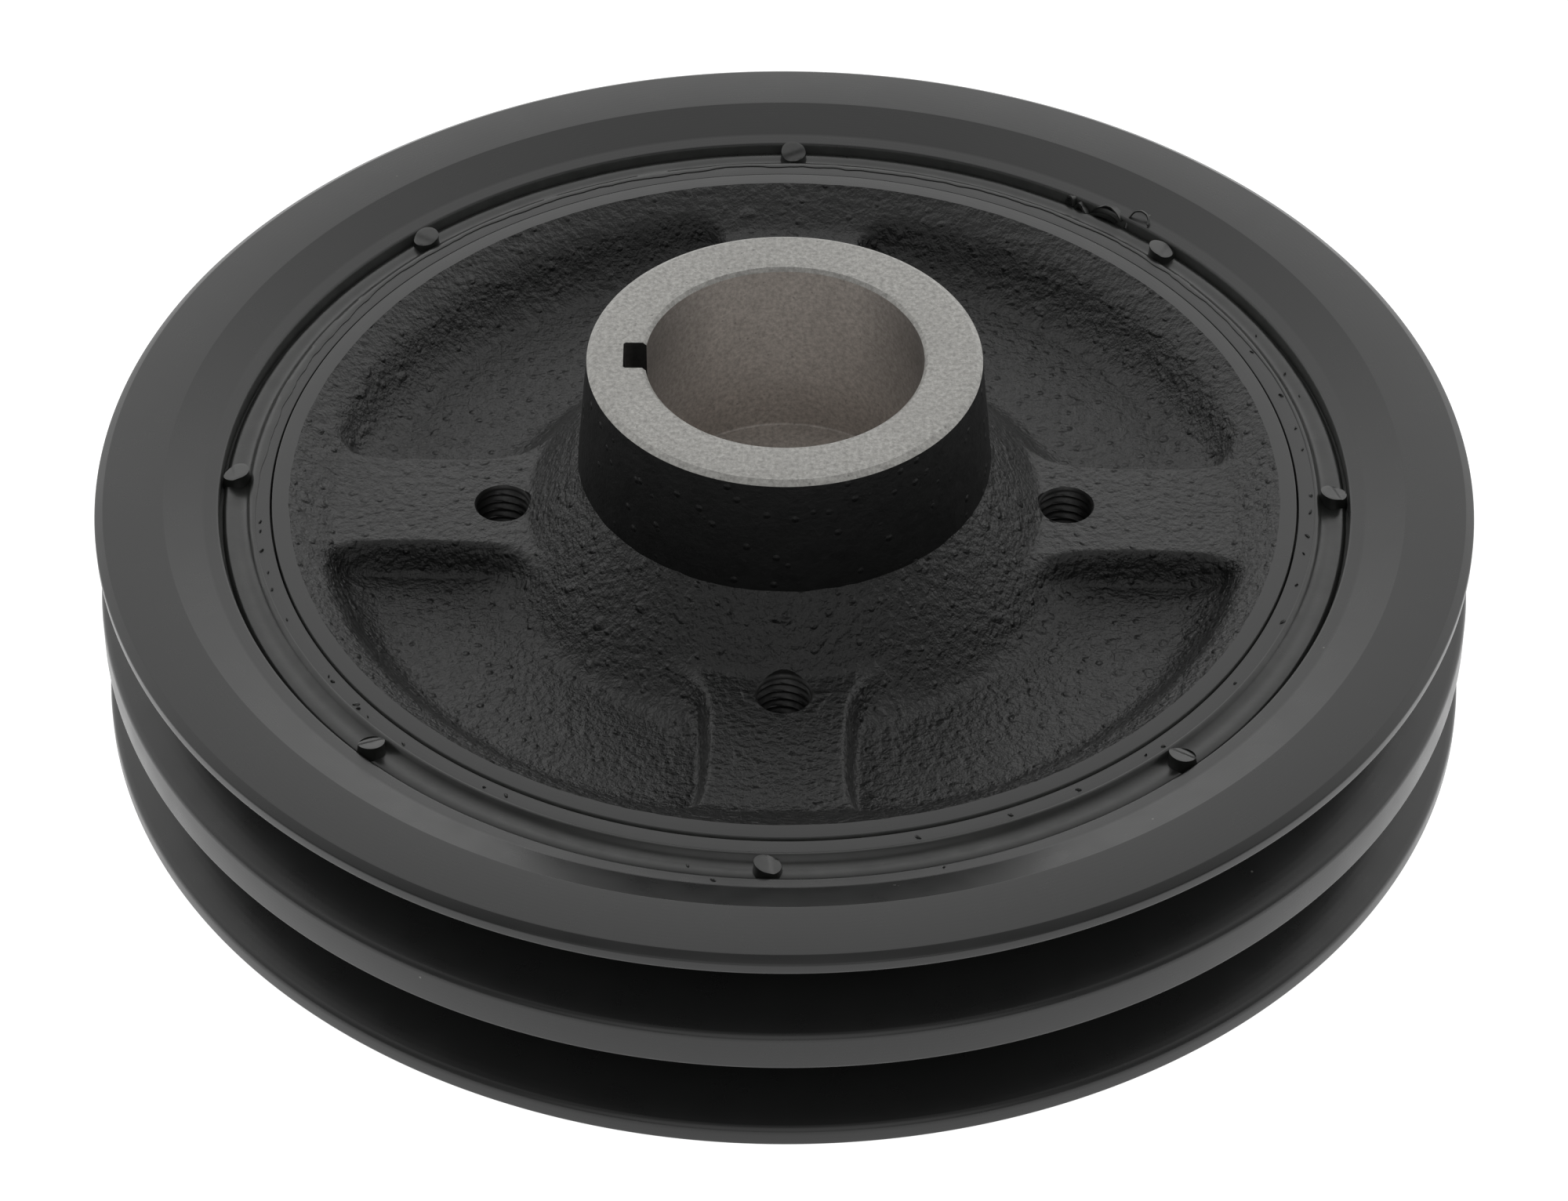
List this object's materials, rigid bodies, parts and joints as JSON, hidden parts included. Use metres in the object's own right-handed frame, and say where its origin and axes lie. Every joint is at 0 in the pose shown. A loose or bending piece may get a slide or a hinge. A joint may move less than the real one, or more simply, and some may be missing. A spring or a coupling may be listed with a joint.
{
  "type": "v belt pulley",
  "caption": "Crankshaft damper pulley: cast hub with a keyed bore, and a V-grooved outer ring bonded to it through rubber.",
  "frame": {"origin": "on the pulley's axis, in the plane of the outer ring's lower edge, on which it lies", "axes": "+Z along the axis towards the hub's boss; the keyway points towards -X; the tapped holes lie on X and Y"},
  "size_m": [0.175, 0.175, 0.051],
  "materials": {
    "hub_casting": "rough sand cast and painted black, machined bare on the boss face and in the bore",
    "sleeve_steel": "turned, thin satin black paint over rubber flash",
    "bonded_rubber": "moulded, satin, with stubs and thin flash",
    "ring_paint": "turned cast iron under satin black paint"
  },
  "bodies": {
    "hub": {"hub": "hub_casting", "inner_sleeve": "sleeve_steel", "rubber_ring": "bonded_rubber"},
    "pulley_ring": {"pulley_ring": "ring_paint"}
  },
  "joints": [
    {"name": "damper_twist", "type": "hinge", "parent": "hub", "child": "pulley_ring", "pos_m": [0, 0, 0.01595], "axis": [0, 0, 1], "range_deg": [-1, 1], "stiffness_Nm_per_rad": 1000}
  ]
}
